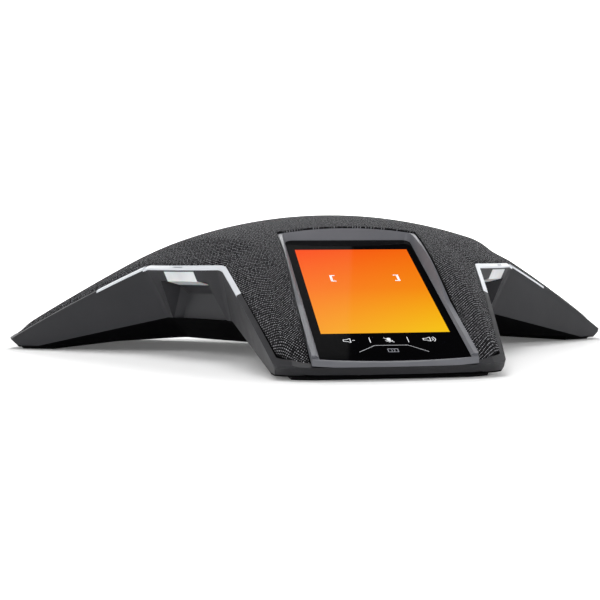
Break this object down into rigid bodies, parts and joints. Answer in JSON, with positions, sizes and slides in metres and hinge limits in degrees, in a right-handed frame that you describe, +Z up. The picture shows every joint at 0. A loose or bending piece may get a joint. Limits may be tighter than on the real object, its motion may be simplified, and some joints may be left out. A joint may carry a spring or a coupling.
{
  "type": "conference telephone",
  "caption": "Three-legged tabletop conference telephone with a cloth-covered loudspeaker dome and a sloping touch display in its front leg.",
  "frame": {"origin": "on the table surface, under the centre of the footprint's bounding box", "axes": "+Z up; -Y towards the user, along the leg that holds the display; +X to the user's right"},
  "size_m": [0.3554, 0.3173, 0.0745],
  "materials": {
    "speaker_cloth": "woven",
    "grey_plastic": "fine grain",
    "black_plastic": "fine grain",
    "silver_trim": "satin",
    "lens": "frosted",
    "bezel": "satin",
    "glass": "polished",
    "panel": "matt",
    "sheet_steel": "plated",
    "screw_steel": "zinc",
    "circuit_board": "solder mask",
    "chip": "moulded",
    "flex": "film",
    "ferrite": "sintered",
    "copper": "wound",
    "paper": "pulp",
    "soft_rubber": "matt",
    "foam": "open cell",
    "label": "film"
  },
  "bodies": {
    "phone": {"speaker_cloth": "speaker_cloth", "top_cover": "black_plastic", "side_housing": "grey_plastic", "bottom_cover": "black_plastic", "display_bezel": "bezel", "touch_glass": "glass", "lcd_panel": "panel", "display_tray": "sheet_steel", "display_screws": "screw_steel", "contactless_coil": "circuit_board", "display_ribbon": "flex", "main_board": "circuit_board", "shield_cans": "sheet_steel", "processor": "chip", "network_jack": "chip", "usb_socket": "sheet_steel", "audio_jack": "chip", "wireless_antenna": "circuit_board", "mic_ribbons": "flex", "speaker_chamber": "black_plastic", "speaker_basket": "sheet_steel", "speaker_yoke": "sheet_steel", "speaker_magnet": "ferrite", "speaker_top_plate": "sheet_steel", "cone_surround": "soft_rubber", "spider": "paper", "speaker_gasket": "foam", "speaker_lead": "soft_rubber", "cover_screws": "screw_steel", "board_screws": "screw_steel", "speaker_screws": "screw_steel", "rating_label": "label", "arch_insert_rear": "grey_plastic", "mic_trim_rear": "silver_trim", "led_lens_rear": "lens", "mic_board_rear": "circuit_board", "led_board_rear": "circuit_board", "arch_insert_front_left": "grey_plastic", "mic_trim_front_left": "silver_trim", "led_lens_front_left": "lens", "mic_board_front_left": "circuit_board", "led_board_front_left": "circuit_board", "arch_insert_front_right": "grey_plastic", "mic_trim_front_right": "silver_trim", "led_lens_front_right": "lens", "mic_board_front_right": "circuit_board", "led_board_front_right": "circuit_board", "foot_front": "soft_rubber", "foot_right": "soft_rubber", "foot_left": "soft_rubber"},
    "diaphragm": {"speaker_cone": "paper", "voice_coil": "copper", "dust_cap": "paper"}
  },
  "joints": [
    {"name": "cone_travel", "type": "slide", "parent": "phone", "child": "diaphragm", "axis": [0, 0, 1], "range_m": [-0.0025, 0.0025], "stiffness_N_per_m": 1500, "deforming": ["cone_surround", "spider"]}
  ]
}
